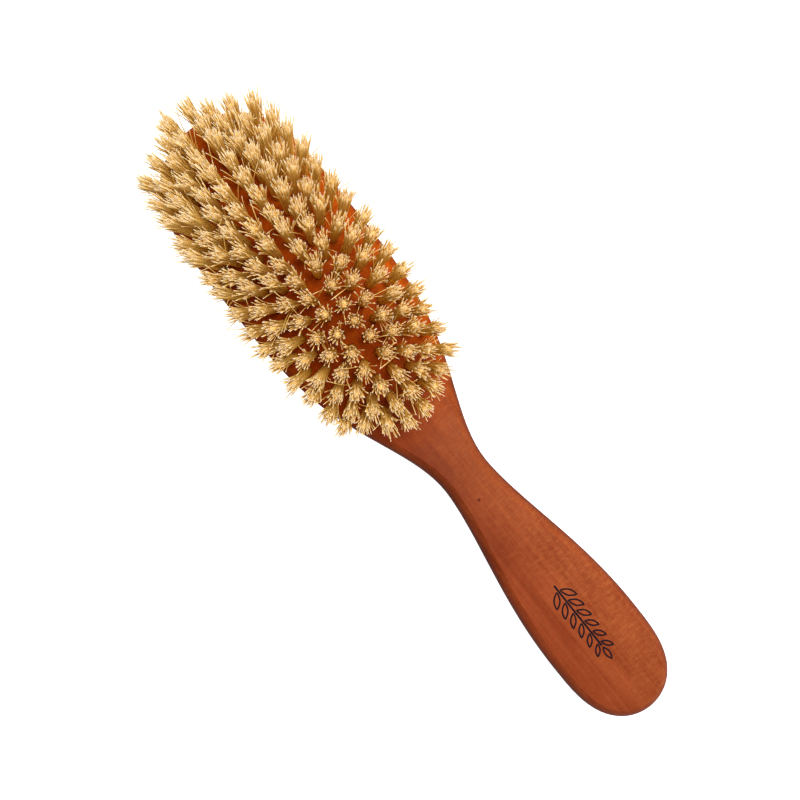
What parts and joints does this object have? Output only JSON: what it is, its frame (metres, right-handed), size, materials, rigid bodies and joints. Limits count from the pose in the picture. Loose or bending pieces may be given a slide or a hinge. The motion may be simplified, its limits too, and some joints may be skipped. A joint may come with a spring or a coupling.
{
  "type": "beard brush",
  "caption": "Handled beard brush: waisted wooden body, taken as two glued pearwood boards, with eight rows of leaning natural-bristle tufts. The hidden draw wire in each row is an assumed construction.",
  "frame": {"origin": "on the flat back of the body, below the middle of the bristle field", "axes": "+X along the brush towards the handle's end, +Y across it, +Z out of the front face, the way the bristles point"},
  "size_m": [0.2194, 0.0488, 0.0321],
  "materials": {
    "front_wood": "reddish-brown pearwood, oiled to a satin sheen, fine straight grain",
    "back_wood": "the same pearwood, a shade deeper, oiled to a satin sheen",
    "bristle": "pale straw natural boar bristle, deeper gold at the root, with split whitish tips",
    "wire": "bright drawn wire"
  },
  "bodies": {
    "root": {"front_board": "front_wood", "back_cover": "back_wood", "tuft_row_1": "bristle", "tuft_row_2": "bristle", "tuft_row_3": "bristle", "tuft_row_4": "bristle", "tuft_row_5": "bristle", "tuft_row_6": "bristle", "tuft_row_7": "bristle", "tuft_row_8": "bristle", "draw_wire_1": "wire", "draw_wire_2": "wire", "draw_wire_3": "wire", "draw_wire_4": "wire", "draw_wire_5": "wire", "draw_wire_6": "wire", "draw_wire_7": "wire", "draw_wire_8": "wire"}
  },
  "joints": []
}
